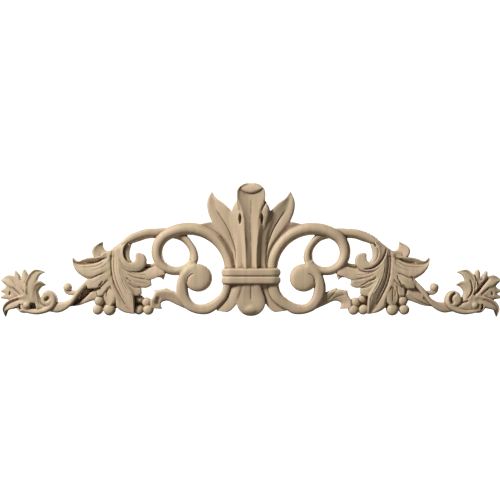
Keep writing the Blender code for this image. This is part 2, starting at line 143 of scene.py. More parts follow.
# Leaves: (name, left edge, right edge, rise), and where they differ from the usual, the section,
# the section it changes to, the sides it is on and its steps across. The edges are points from root
# to tip, in pairs: modules to the left of the middle line, and up. An edge that isn't given is the
# other one mirrored. The rise is the height at even places along it, in hundredths of the board.

# The arch from the acanthus that passes under the ring, and the low scroll that ends in the boss
SCROLLS = (
    ("arch", [141,26.4, 131.3,33.7, 122.7,41, 114.2,45.2, 105,47.9, 95.2,48.5, 85,48.8, 74,47, 64.2,41.6,
     59,35.7, 55,29.8, 52.7,22.6, 53,16, 57,9], [128,27, 122,32, 117,34, 111.6,35.7, 103.7,38.3, 95.2,39,
     87,39.6, 78,38.6, 70,36, 65,31.5, 62,26.5, 61.4,21.5, 62.5,16.5, 67,11], (52, 50, 44, 38, 46, 52),
     ARCHED, None, BOTH, 16),
    ("low_scroll", [28.2,-4, 28,-10, 30.8,-16.6, 36,-21.5, 40.6,-24.4, 45.6,-26.6, 51,-27.4, 55.7,-26.3,
     59.6,-22.4, 61.8,-18, 62.8,-13.6, 63.4,-9.6, 64.1,-4.6, 63.2,-0.6, 60.4,2.2, 57,3.6, 55,4], [19,-4,
     20,-10, 23.8,-20.6, 30,-28, 35.2,-32.8, 41.9,-36.6, 48.6,-37.3, 56.3,-36, 64.2,-32.2, 70.4,-25,
     74,-17.5, 74.6,-10, 73.4,-3.4, 70.4,4, 65.5,9.6, 59.4,12.9, 55,13.8], (72, 61, 54, 58, 66, 64),
     (0.5, 1.5), None, BOTH, 20),
)

# The sheaf above the collar: a cupped middle leaf, the stalk beside it with its shoulder, which
# stands clear on the right, and an outer leaf folded along its midrib, with a web to the big scroll
SHEAF = (
    ("middle_leaf", [5.4,6, 5.6,27, 6,41, 7.2,55, 9.8,66, 13.2,74, 14.3,81.5, 13.4,87, 10,91, 5,93.1,
     0.4,93.4], None, (80, 81, 86, 94, 97), VALLEY, CUP, DRAWN, 24),
    ("stalk", [15,6, 15,27, 16.4,41, 20.4,53, 22,64], [4.6,6, 5,27, 6,41, 7.6,55, 9.4,65],
     (80, 80, 85, 86, 84), (73.5, 45,74.5, 64,80, 90,100, 100), (74, 42,84, 63,91, 83,95.5, 100)),
    ("shoulder", [14,47, 16.4,56, 18.8,65.5, 17,72, 14,76.4], [6,47, 6,62, 8,70, 10.6,78], (74, 82, 84, 84),
     (78, 30,87, 70,96, 92,100, 100)),
    ("right_shoulder", [-10.6,47, -10.4,58, -10.8,65, -13.2,70.4, -15,73.6], [-14,47, -16.2,56, -18.4,64.6,
     -17.6,69.6, -15.6,73.6], (72, 80, 87, 88), (96, 30,100, 75,99, 93), None, DRAWN),
    ("inner_blade", [15,6, 15.8,27, 19.3,39, 23,48.5, 29,59, 35.2,68.5, 38.4,78, 39.4,85], [11,6, 12,27,
     13,45, 15.6,58, 19.2,65.4, 27,73.4, 34.5,78.8, 38.8,85], (54, 57, 64, 64, 44), (96, 40,92, 75,94, 100),
     (74, 40,88, 75,98, 97)),
    ("outer_blade", [15.4,9, 17,21, 21.4,32, 28,41, 35,49, 38.6,54.6, 42.6,64, 43.8,73, 42.4,79.4,
     39.6,84.9], [14.2,6, 15.4,27, 19,39, 22.8,48.5, 28.8,59, 34.8,68.5, 38.2,78, 39.2,85],
     (54, 55, 57, 52, 42), (86, 16,97, 45,100, 80,97, 94)),
    ("web", [20,24, 25,32, 35,43, 45,48.6, 55,51], [17,29, 21.4,37, 30,47.4, 38,54.8, 52,52.7],
     (50, 52, 53, 50, 44), (84, 30,86, 60,92, 90,98, 90)),
)

# The middle leaf's tip rolled forward over its cup, and the drop leaf's tip curled up
TIPS = (
    ("rolled_tip", [12.4,88.4, 9,86.2, 4,84.2, 0,83.5, -4,84.2, -9,86.2, -12.4,88.4], [11.4,90, 8,91.8,
     4,92.9, 0,93.2, -4,92.9, -8,91.8, -11.4,90], (90, 92, 96, 100, 98), ROLLED, None, DRAWN),
    ("curled_tip", [11.4,-33.4, 8,-36.6, 4,-38.4, 0,-38.8, -4,-38.4, -8,-36.6, -11.4,-33.4], [9.4,-31,
     5.4,-28.8, 0,-27.6, -5.4,-28.8, -9.4,-31], (52, 62, 66, 62, 52), (60, 18,80, 42,95, 70,100, 95), None,
     DRAWN),
)

# Below the collar: a cupped drop leaf, a small leaf on each side of it, and on the right the fuller
# wood beside its stem
DROP = (
    ("drop_leaf", [-9,-4, -11,-13, -13.4,-20, -14.2,-26, -12.8,-31.2, -9.8,-34.8, -5.4,-37.2, -0.2,-37.8],
     None, (80, 67, 61, 42), LEVEL, None, DRAWN, 24),
    ("left_side_drop", [8.4,-4, 10.2,-13, 12.6,-20, 14.6,-27, 20,-33, 24,-35], [20,-4, 23,-14, 25.4,-21,
     31,-29, 34.4,-33.6], (76, 62, 50), (95, 10,100, 35,98, 65,86, 90,70, 66), (95, 10,100, 35,99, 65,96,
     90,92, 90), DRAWN),
    ("right_side_drop", [-7,-4, -9,-13, -13,-20, -15,-27, -20,-33, -24,-35], [-20,-4, -24,-14, -28,-22,
     -33,-29, -35,-33.6], (66, 50, 44), (90, 15,98, 50,100, 80,96, 90), None, DRAWN),
    ("right_stem_side", [-16.4,-4, -16.6,-11, -19,-18, -23,-24, -29,-29, -35,-32.6], [-25,-4, -25.4,-10,
     -28.4,-18, -33.6,-24, -39,-28.4, -43,-31], (72, 68, 64, 60, 56), (84, 20,95, 60,100, 97), None, DRAWN),
)

# The acanthus on each arm: a long lobe folded along the midrib, three lobes on the inner side and
# four on the outer side, and a hooked lobe at the top on each side, with a ledge that is higher on
# the right
HOOK_LEDGE = ([124.6,34, 128.2,27, 127,19, 122.4,13.4], [119.4,32.6, 121.3,25, 121.1,19.6, 118.6,15])
ACANTHUS = (
    ("acanthus_body", [141,25, 147,15, 149,1, 146,-13, 137,-26], [129,29, 128,20, 121,9, 115,-3, 117,-20],
     (46, 44, 40)),
    ("long_lobe", [138.4,28, 139,15, 138,1, 134.4,-10, 129.2,-21, 124,-29.5, 119,-36.4], [132,30, 131.6,15,
     129.6,5, 125.6,-4, 121,-11.6, 116.7,-19, 116.1,-36.8], (56, 62, 66, 64, 50), (72, 35,84, 70,97, 90,100,
     92)),
    ("long_lobe_outer", [144,23, 146,9, 144,-3, 139,-13, 135,-23, 133.4,-30.4, 127,-34.8, 118,-36.8],
     [138.2,26, 138.8,15, 137.8,1, 134.2,-10, 129,-21, 123.8,-29.5, 118,-36], (50, 50, 50, 44), (86, 30,100,
     65,98, 90)),
    ("hook_fill", [136.5,27, 135.5,19, 131,10, 121,4], [130,29, 129.6,21, 126,14, 118,9], (58, 60, 60, 55),
     CORD),
    ("inner_lobe_top", [134,25, 130,15, 122,9, 113,8.6, 104,8.4, 95,10.4, 88,9], [132,13, 125,5.4, 117,1.4,
     108,-1.4, 100,-2.6, 93,0, 85.4,2.6], (60, 57, 54, 52), (66, 22,80, 48,97, 90,100, 95), (86, 30,94,
     65,100, 90,100, 95)),
    ("inner_spike", [93,-0.4, 90,-0.6, 87.7,-2.8], [90,4, 86,3, 87.1,-2.6], (40, 38, 34)),
    ("inner_lobe_middle", [132,17, 123,6, 112,0.6, 103.4,-1.8, 100,-3.4], [131,3, 122.4,-4.6, 113.4,-9.2,
     105,-10.8, 99.2,-8.4], (61, 59, 56, 52), LOBE),
    ("inner_lobe_low", [132,9, 123.4,-1.6, 116.4,-8, 109.6,-11], [130,-4, 124,-12, 117.6,-18, 113,-18.8,
     109,-16.6], (61, 58, 52), LOBE),
    ("inner_hook", [135.4,28, 133.6,20, 129,12, 121.4,6.8, 112.5,6, 106,10, 104.2,16.8, 106.4,22.3,
     112,24.4], [123.4,34.4, 127,27, 126.2,20, 122.2,15, 117.6,15, 115.2,17.4, 115,19.5, 115.1,21.5,
     114.8,23.7], (60, 63, 64, 60, 52), (94, 45,94, 80,100, 94,99, 88), (90, 5,99, 14,100, 72,100, 95)),
    ("hook_ledge", *HOOK_LEDGE, (47, 48, 49), CORD, None, DRAWN),
    ("hook_ledge", *HOOK_LEDGE, (58, 62, 62), CORD, None, OTHER),
    ("hook_web", [112,2, 103,2, 93,4], [109,13.6, 104,13.2, 98.4,13.6, 93,16], (28, 34, 50), (80, 50,80,
     90,100, 95)),
    ("outer_lobe_top", [139,5, 148,2, 156,-1.2, 163,-1.6, 171,3, 176,9, 178,15.5, 177.9,19.6], [139,25,
     147,18, 155,13.8, 163,12.4, 171,12.4, 175,14, 176.8,16.5, 177.4,19.4], (50, 55, 54, 42), (84, 15,98,
     30,100, 55,96, 85,88, 84)),
    ("outer_lip", [139,20, 147,15, 155,11.4, 163,10.4, 171,11, 175.6,14, 177.8,19.4], [138,27.4, 146,24.4,
     152,20.2, 161,19.6, 166.8,18, 171.6,16, 175,16.8, 177.4,19.7], (50, 50, 46, 43), (42, 35,54, 70,80,
     92,100, 90), (86, 40,90, 75,100, 92,100, 90)),
    ("outer_hook", [138,22, 146,18.4, 155,19.2, 158.6,24.4, 157.7,29, 154,32.4, 148.2,35.2], [134,31,
     139.4,27, 144,26.3, 146.6,27.8, 147.6,30.6, 147.9,32.6, 147.8,35], (52, 48, 46, 38), (84, 12,100,
     45,86, 80,74, 66)),
    ("outer_lobe_second", [139,3, 143.4,-3, 148.6,-7.6, 153.4,-10.8, 162.4,-11.6], [139,13, 149,5, 157,0.6,
     162.8,-1.4, 164,-6], (50, 52, 56, 51), (93, 10,100, 50,100, 80,96, 90)),
    ("outer_lobe_third", [137,-7, 141.6,-11, 145.8,-15.4, 148.4,-18.6, 152.4,-19], [140,9, 145,0.6,
     149.4,-5.4, 154.2,-11], (50, 50, 46), (92, 14,100, 50,97, 88)),
    ("outer_lobe_low", [135,-7, 133.4,-16, 134.8,-24, 140.6,-29.8], [142,-2, 145,-12, 146.4,-21, 143,-29.4],
     (46, 50, 46), (84, 12,97, 30,100, 60,93, 86,88, 90)),
    ("lobe_bed", [140,-21, 140,-31], [132,-21, 132.4,-31], (22, 20)),
)

# Berries under the acanthus, three outside and four inside: (left of the middle line, up, radius,
# height of the front in hundredths of the board)
BERRIES = (
    (151.6, -23.4, 5, 44),
    (153, -32.5, 5.2, 44),
    (141.2, -32.4, 6.1, 50),
    (110.8, -21.6, 3.8, 38),
    (104.2, -25, 4.7, 42),
    (112, -32.6, 5, 42),
    (102.4, -32.6, 5.2, 46),
)
BERRY_FULLNESS = 1.3

# The wood left between the berries
BERRY_BEDS = (
    ("outer_berry_bed", [153.4,-19, 153.4,-31], [133,-7, 138,-32], (20, 20)),
    ("inner_berry_bed", [120,-15, 119,-32.4], [107.6,-19.6, 101.4,-31.4], (14, 14)),
)

# The leaf that grows from the low scroll towards the inner berries and curls down
INNER_TENDRIL = (
    ("inner_tendril", [63,-32.6, 74,-27.8, 82.5,-23.9, 87.4,-24.4, 90.2,-26.8, 88.7,-32], [67,-19, 75,-15,
     81.4,-12.9, 88,-12.4, 95,-14, 97.6,-19, 100.4,-24, 100.6,-30.8], (46, 44, 40), (62, 18,76, 50,88,
     80,100, 93,97, 84)),
    ("tendril_point", [88,-18, 93,-17, 97,-14], [86,-12, 92,-12.6, 96.6,-13.4], (40, 38, 34)),
    ("tendril_spike", [82,-16, 85,-14, 85.8,-10.6], [79,-13.6, 82,-12, 85,-10.7], (40, 38, 34)),
)

# The stem from the acanthus to the end spray, its bract, which is filled on the right, and its tendril
STEM = (
    ("stem", [157,-6, 163.5,-9.6, 168,-14, 173.5,-21, 179,-27.6, 186,-33.2, 193,-35.6, 201,-34.5], [159,2,
     163.4,-2, 169,-7.6, 174.5,-13.6, 179,-20.5, 185,-24, 192.6,-25.4, 199,-26], (48, 50, 36), (0.55, 1.5),
     None, BOTH, 16),
    ("stem_bed", [147,-21, 159,-22, 171,-27, 181,-29], [149,-5, 161,-5, 173,-15, 183,-27], (10, 8, 6)),
    ("bract", [147,-22, 157.4,-23.4, 165,-26, 172,-28.4, 181,-29.6], [148,-9, 154,-11, 158.6,-14, 165,-20.4,
     176,-28.4], (42, 37, 28, 18), (74, 20,92, 50,98, 80,100, 94)),
    ("right_stem_fill", [-161,-7, -167,-13, -173.4,-20, -179,-26], [-151,-10, -156,-18, -166,-23.4,
     -178,-28.4], (40, 37, 34, 26), SOFT, None, DRAWN),
    ("tendril", [171,-22, 177,-18.4, 182.6,-17.6, 186.2,-14.8, 187.5,-10.4], [169,-12.6, 174,-13.4,
     179,-13.4, 181.6,-12.4, 184,-10], (42, 34, 34)),
)

# The small volute that the stem runs into
VOLUTE = (
    ("volute", [229,-29, 222,-31, 214.5,-31.8, 208,-30, 203.6,-27.9, 201,-25.4, 200.4,-22.6, 201,-20.2,
     202.4,-19, 204,-19, 205.2,-20, 205.6,-21.6, 205.2,-23, 204,-23.8], [231,-33.6, 224,-35.9, 214.3,-37.5,
     206,-36.2, 199.4,-33.4, 195,-29.6, 193.1,-24.6, 194,-19, 197.4,-14.8, 202.4,-13.1, 206.8,-14.8,
     209.4,-19, 209,-23.2, 206.2,-25.8], (42, 44, 46, 48, 48, 46, 40), (70, 15,85, 42,97, 68,100, 84,92,
     94,74, 48), None, BOTH, 16),
)

# The leaf spray at each end: a fan of teeth, a tall leaf with a short hook, and a claw turned down
SPRAY = (
    ("throat", [227,-19, 227,-27, 221,-33.4, 204,-33], [212,-16, 210.4,-20.4, 206,-26, 199,-27],
     (44, 42, 36), (86, 30,97, 60,100, 85,84, 58)),
    ("fan", [211,-31, 227,-26, 238,-22, 245,-19, 245,-11.4], [215,-11, 223,-2, 229.6,-0.6, 236.4,0.2,
     243,0], (42, 38, 28), BLADE),
    ("outward_lobe", [225,-22, 235,-14, 242.4,-10.8, 245.8,-7.4, 250,-3.2], [223,-13, 231,-4.4, 236.2,0.2,
     243,1.8, 249.6,-2.4], (44, 42, 36, 26), (74, 20,96, 40,100, 70,84, 82)),
    ("side_tooth", [227,-23, 241,-18, 249.9,-14.8], [226,-16, 239,-10.6, 245,-10.2, 249.9,-13.4],
     (40, 34, 24)),
    ("lower_tooth", [227,-24, 239,-23.2, 245,-22, 250.2,-21.2], [227,-19, 240,-15.6, 246,-16.9,
     250.2,-19.6], (40, 34, 24)),
    ("upper_tooth", [229,-17, 233.6,-8, 236,0, 236.2,5.6], [223,-13, 228.4,-4, 230.8,1.4, 234.6,6.2],
     (40, 36, 28)),
    ("second_tooth", [225,-16, 228.2,-4, 229,3, 227.6,7.4], [220,-13, 222.2,-2.6, 223.2,3.6, 226,7.6],
     (40, 37, 28)),
    ("tall_leaf", [221,-27, 225,-18, 225.8,-9, 224,-2, 220.4,4, 214.8,7.6, 205.9,5.4], [213,-26, 215.6,-17,
     216.2,-10, 214.2,-5.6, 212.8,-1.4, 210.6,2.2, 205.8,4.6], (44, 48, 44, 34), (94, 6,100, 24,90, 50,94,
     80,97, 90)),
    ("short_hook", [218,-27, 219.6,-19, 218.6,-11, 215.4,-5.4, 210.6,-3.9, 205,-7.5], [207,-27, 211,-20.6,
     212.4,-16, 211,-12.4, 208.6,-9.6, 205.1,-8.3], (44, 48, 44, 34), (94, 20,100, 44,89, 75,80, 62)),
    ("claw", [223,-18, 231.2,-19.2, 239.2,-21.7, 244.1,-24.6, 247.2,-28.7, 248,-32.7, 246.8,-37, 245.5,-40],
     [221,-28, 227,-28, 231.2,-29.6, 236,-31.6, 240.5,-32.4, 242.6,-33.6, 243.6,-36, 244.9,-40],
     (46, 46, 42, 34, 14), (90, 8,100, 30,81, 55,91, 85,95, 72)),
)
BUD_LEAF = (
    ("bud_leaf", [220,-32.6, 225,-35.8, 230,-35.4], [225,-26, 232.6,-26.6, 233.8,-31.4], (42, 42, 34)),
)

# The drilled slots beside the middle leaf and in the left spray: (name, left edge, right edge, metres
# of wood left behind them, sides)
EYES = (
    ("sheaf_eye", [11,64.2, 12.5,58.4, 11.2,52], [10.6,64.2, 9.4,58.4, 10.6,52], 0.015, BOTH),
    ("spray_eye", [219.6,-25.6, 220.6,-29, 221.2,-31.9], [215.4,-25.6, 214.2,-29, 214,-31.9], 0.003, DRAWN),
)

# Strokes of the V tool: (width, depth, points of the line in pairs), in modules
VEINS = (
    (1.6, 0.9, 14.7,7, 15.7,27, 19.1,39, 23,48.5, 29,58.4, 34.8,67.3),
    (1.6, 0.22, 0.4,61, 0.4,69, 0.4,78.4),
    (1.8, 0.35, 0,-8, 0,-23),
    (1.8, 0.9, 56.4,3.8, 60.2,2, 62.8,-1.2, 63.6,-6),
    (2, 1.3, 138.2,27, 139.2,19, 139.3,11, 138.2,1, 135.4,-8, 131.4,-16, 127,-24, 124.4,-28),
    (1.6, 0.8, 135.8,26, 136.6,17, 136.5,9, 135,0, 132,-9, 128,-17.5, 125,-24),
    (1.6, 0.4, 173,10.6, 163,10, 153,11.6, 144,17.5),
    (1.8, 0.3, 159,6.2, 148,10, 141,16),
    (1.8, 0.4, 133.6,21, 133.4,11, 131.6,1, 127.4,-9, 122,-19),
    (1.8, 0.4, 131.4,9, 129.2,0, 124.6,-10, 119.4,-20, 118.6,-30),
    (1.8, 0.3, 132,20, 129.6,15, 125,10, 118,6.6),
    (1.8, 0.4, 131,15, 125,7.6, 115,3.2, 101,2),
    (1.8, 0.6, 123,3, 115,-0.4, 105,-2.2),
    (1.6, 0.3, 117,-3.4, 110,-5.2, 102,-6.4),
    (1.8, 0.6, 122,-5, 116,-9.8, 110,-11.2),
    (1.6, 0.3, 128.4,0, 126,-8, 118,-16.8),
    (1.8, 0.9, 160,-2, 156,0, 151,2.4, 146,4.2),
    (1.6, 0.2, 159,-7, 152,-3, 145,2),
    (1.8, 0.5, 142,-9, 143.6,-15, 143.6,-20),
    (1.6, 0.8, 238,-10, 234,-14, 229,-19),
    (1.8, 0.8, 232.4,3.6, 230.8,0.4, 230.8,-2, 228.4,-3),
    (2.4, 0.25, 240,-0.6, 234,-9, 227,-17),
)

# Strokes of the round gouge: (width, depth, points of the line in pairs), in modules
HOLLOWS = (
    (2.6, 0.8, 123.2,-1.2, 122.2,-2),
    (2.2, 0.6, 121,-3, 119.4,-4),
    (2, 1.3, 151.6,-9, 150,-7.4, 148.4,-5.6, 147.4,-3.8),
    (4.4, 1.1, 164,14.2, 156,14.8, 149,17.2, 141.4,21.2),
    (2.4, 2.6, 240.4,-15.2, 240.8,-17.4),
    (3.2, 3.4, 230.6,-28, 230.9,-30, 230,-31.8),
    (4.6, 3, 244,-35, 245.2,-39),
)

# Strokes on one side only, as two halves cut by hand are never quite alike: (whether with the round
# gouge, width, depth, points of the line in pairs)
SINGLE_STROKES = (
    (True, 7, 1, 54,51.2, 46,49.4, 38,45.6, 31,40, 26,33.4, 22.4,27, 20.2,19),
    (True, 6.4, 1.3, 32,41.6, 25,33.4, 21.2,27, 19,21, 17.6,15, 16.6,9),
    (True, 2.4, 0.9, 124.4,32.4, 126.4,27, 125.6,21, 123,16.6),
    (True, 6.2, 2.6, 203.8,-22.6, 202.4,-21.2),
    (True, 7, 0.9, 92.6,-21.6, 93.6,-26),
    (False, 2.4, 3, -121.8,34.4, -123.4,32.2, -124.4,30),
    (False, 2.8, 2.2, -135,29, -133.4,23, -130,16.6, -125,11.6, -119,8.6, -112,7.8),
    (False, 2, 1.2, -124.4,1.6, -123,-1.8, -119,-3.2, -113,-6.6, -108.4,-9),
    (False, 2, 0.8, -113,-18.4, -108.6,-18.4, -104.6,-17.6),
    (False, 2, 1.4, -145.6,2, -146.6,-2, -149,-6, -150.6,-11),
    (False, 2, 1, -145.4,-8, -146,-14, -147.6,-20),
    (False, 1.8, 0.8, -141.8,-7, -141.4,-16, -141.4,-25),
    (False, 2.2, 1.6, -159,1, -161,-1.4, -162.4,-4.4),
    (True, 5.4, 3.4, -238,0, -233,-5.6, -227.6,-12, -222,-18.6),
    (False, 2.4, 2, -218.4,-2, -220.4,-9, -220,-15, -215.6,-22),
    (False, 2, 0.8, -224,5, -224,-5, -222.6,-14),
    (False, 2.4, 2.2, -229.4,5, -229.6,2),
    (True, 3.4, 1.6, -209,-25.4, -213,-25, -217,-23.6),
    (True, 5.4, 3, -202.6,-16.6, -200.4,-18.8, -199.6,-22, -200.6,-25),
    (True, 4.8, 2.6, -151.8,-9.2, -154.4,-11.6, -154.6,-15),
    (False, 2.2, 0.45, -87.6,-10, -82,-17, -76.6,-23),
    (False, 2.2, 0.35, -95,-17, -87,-19, -80,-23),
)

# Where a form runs into the next without an edge, and is rubbed down: (width, points in pairs)
BLENDS = (
    (9, 56,8, 50,9, 44,6),
    (6, 38,53, 32,45, 26,36),
    (5.6, 47,50.5, 37,45.5, 29,38, 24,31, 21.4,25),
    (8, 21.2,65, 20,58, 18,49, 16,39, 14.8,27, 14.4,15),
    (3.4, 13,76, 10.6,70, 8.6,64),
    (3.6, 9,90.8, 0,92.1, -9,90.8),
    (5, 21,64, 15,64.4, 10,65),
    (5, 29,39.6, 25,35.6, 21.4,30.6, 18.6,24),
    (4, 129,1, 125,-7, 120,-14, 117,-18),
    (4, 141,24, 138,23, 135,23),
    (6, 38.6,81, 37,74, 33.6,66),
    (6, 55,13.4, 61,11, 67,7, 70.4,3),
    (6, 57,5, 60.6,2.6, 63.2,-0.6, 64,-4),
    (5, 74.4,-16, 73,-21.6, 69,-28),
    (5, 95.4,12.4, 93,8.6, 88,4.4),
    (5, 124,-28, 121,-32.6, 118,-36),
    (7, 147,23, 139,25.5, 132,28),
    (5, 134,21, 130.6,11, 125,0, 120,-8),
    (8, 132.6,32, 132.6,24, 130.6,17, 125.4,10),
    (4, 8,-31.4, 4,-28.6, 0,-27.8, -4,-28.6, -8,-31.4),
    (7, 238,-4, 231,-6, 226,-10),
    (5, 132,14, 124,5.5, 113,0.4),
    (5, 130,4, 123,-3.5, 115,-9),
    (3, 143,7, 147,-2, 151,-8),
    (4, 216.5,-7, 217.4,-15, 215,-25),
    (9, 229,-20, 223,-21, 217,-24),
)
BLEND_PASSES = 40

FLOOR_LEVEL = -1.0  # the carving hangs well above the floor
STAGE_RADIUS = 4.0
STAGE_STEPS = 96
WALL_HEIGHT = 6.0
FLOOR_GLOW = 0.2
VIEW_MIDDLE = (-1.0, 27.0)  # middle of the view, in modules
VIEW_DEPTH = 0.002  # how far before the back face the view is WIDTH across
ROOM_COLOUR = (1.0, 0.88, 0.72, 1.0)
LIGHTS = {  # place, size and colour
    "key": ((-1.86, -1.50, 1.83), 0.6, (1.0, 0.99, 0.97)),
    "bounce": ((0.1, -0.55, -0.8), 1.0, (1.0, 0.95, 0.88)),
    "back": ((0.9, 1.7, 0.9), 1.2, (1.0, 1.0, 1.0)),
}


def drawn(numbers):
    """Points from numbers in pairs: modules to the left of the middle line, and up."""
    return [(-x, z) for x, z in zip(numbers[::2], numbers[1::2])]


def spline(points, t):
    """The point at t, from 0 to 1, on a smooth curve through points."""
    spans = len(points) - 1
    place = min(max(t, 0.0), 1.0) * spans
    k = min(int(place), spans - 1)
    f = place - k
    p1, p2 = Vector(points[k]), Vector(points[k + 1])
    p0 = Vector(points[k - 1]) if k > 0 else 2 * p1 - p2
    p3 = Vector(points[k + 2]) if k + 2 <= spans else 2 * p2 - p1
    slope = (p2 - p0) * f
    bend = (2 * p0 - 5 * p1 + 4 * p2 - p3) * f * f
    twist = (3 * p1 - p0 - 3 * p2 + p3) * f * f * f
    return 0.5 * (2 * p1 + slope + bend + twist)


def blend(values, t):
    """The value at t on a smooth curve through evenly spaced values."""
    return spline([(value, 0.0) for value in values], t)[0]


def walk_along(points, steps):
    """Places along the smooth curve through points, with so many steps between each two."""
    fine = steps * (len(points) - 1)
    return [spline(points, k / fine) for k in range(fine + 1)]


def curve_length(points):
    walk = walk_along(points, 12)
    return sum((there - here).length for here, there in zip(walk, walk[1:]))


def even_curve(points, count):
    """count + 1 points at even distances along the smooth curve through points."""
    walk = walk_along(points, 24)
    reach = [0.0]
    for here, there in zip(walk, walk[1:]):
        reach.append(reach[-1] + (there - here).length)
    found = []
    k = 0
    for step in range(count + 1):
        goal = reach[-1] * step / count
        while k < len(walk) - 2 and reach[k + 1] < goal:
            k += 1
        share = (goal - reach[k]) / max(reach[k + 1] - reach[k], 1e-9)
        found.append(walk[k].lerp(walk[k + 1], min(max(share, 0.0), 1.0)))
    return found


def arc_line(start, heading, legs):
    """(point, heading) every STROKE along tangent arcs. A leg is (radius, turn in degrees to the
    left)."""
    legs = [(radius, math.radians(turn)) for radius, turn in legs]
    length = sum(radius * turn for radius, turn in legs)
    count = round(length / STROKE)
    found = []
    for step in range(count + 1):
        left = length * step / count
        x, z = start
        angle = math.radians(heading)
        for radius, turn in legs:
            swept = min(left / radius, turn)
            x += radius * (math.sin(angle + swept) - math.sin(angle))
            z += radius * (math.cos(angle) - math.cos(angle + swept))
            angle += swept
            left = max(0.0, left - radius * turn)
        found.append((Vector((x, z)), angle))
    return found


def crown(away, fullness):
    """How high a rounded form still is at a share of the way from its middle to its edge. Fullness
    over 1 gives it a flatter top and steeper flanks than a circle's."""
    return (1 - min(1.0, away) ** (2 * fullness)) ** (0.5 / fullness)


def half_round(base, fullness=1.08, columns=16):
    """The section of a round bar, on walls that are base of its height."""
    found = []
    for k in range(columns + 1):
        across = math.cos(math.pi * k / columns)
        found.append(((1 - across) / 2, base + (1 - base) * crown(abs(across), fullness)))
    return found


def shares(section):
    """A section as (place across, height), from 0 to 1."""
    numbers = (0, *section[:-1], 100, section[-1])
    return [(across / 100, height / 100) for across, height in zip(numbers[::2], numbers[1::2])]


def gouge(section, columns):
    """A section as columns + 1 even steps along its smooth line. One of two numbers is a half
    round's base and fullness."""
    line = half_round(*section) if len(section) == 2 else shares(section)
    return [tuple(spline(line, k / columns)) for k in range(columns + 1)]


def model(name, bm, collection):
    """An object made from bm."""
    mesh = bpy.data.meshes.new(name)
    bm.to_mesh(mesh)
    bm.free()
    made = bpy.data.objects.new(name, mesh)
    collection.objects.link(made)
    return made


def block(size, middle):
    bm = bmesh.new()
    bmesh.ops.create_cube(bm, size=1)
    bmesh.ops.scale(bm, vec=size, verts=bm.verts)
    bmesh.ops.translate(bm, vec=middle, verts=bm.verts)
    return bm


